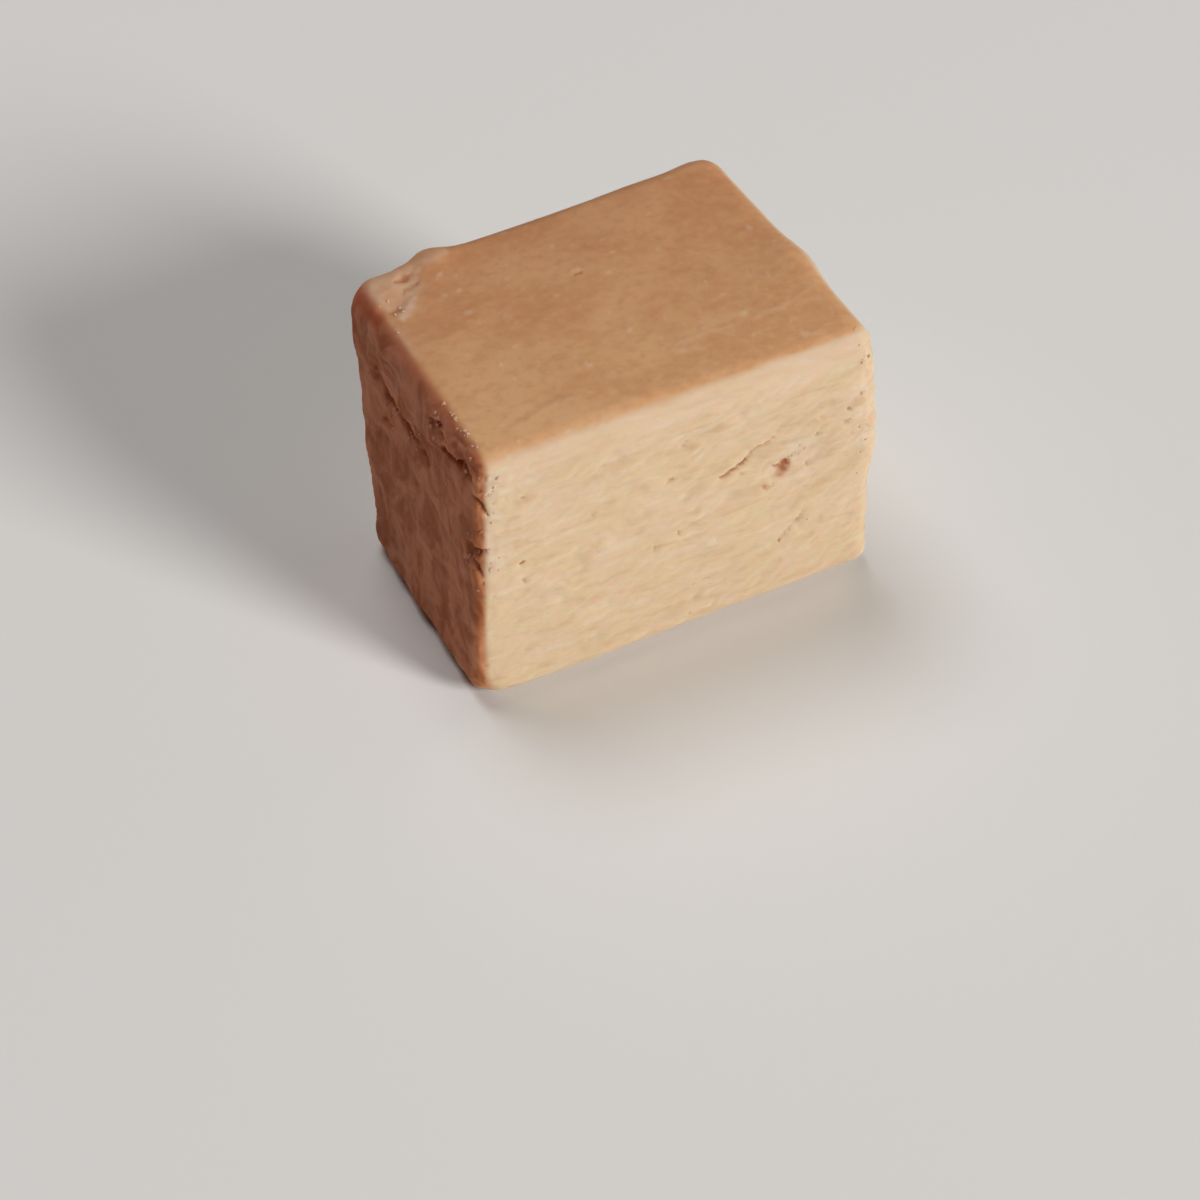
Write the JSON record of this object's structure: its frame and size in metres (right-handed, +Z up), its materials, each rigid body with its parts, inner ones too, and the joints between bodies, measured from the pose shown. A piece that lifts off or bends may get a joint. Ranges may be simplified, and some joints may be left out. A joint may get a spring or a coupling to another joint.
{
  "type": "peanut butter fudge piece",
  "caption": "Thick hand-cut piece of peanut butter fudge, a rounded block with a smooth set top, rough torn sides and a chipped top corner.",
  "frame": {"origin": "middle of the bounding box's underside, on the surface that the piece stands on", "axes": "+Z up towards the smooth set top, +X along the long cut side away from the edge that it shares with the short cut side, -Y out of the long cut side"},
  "size_m": [0.0318, 0.0232, 0.0234],
  "materials": {
    "fudge": "satin on the set top, matt and crumbly on the cut sides"
  },
  "bodies": {
    "root": {"fudge_piece": "fudge"}
  },
  "joints": []
}
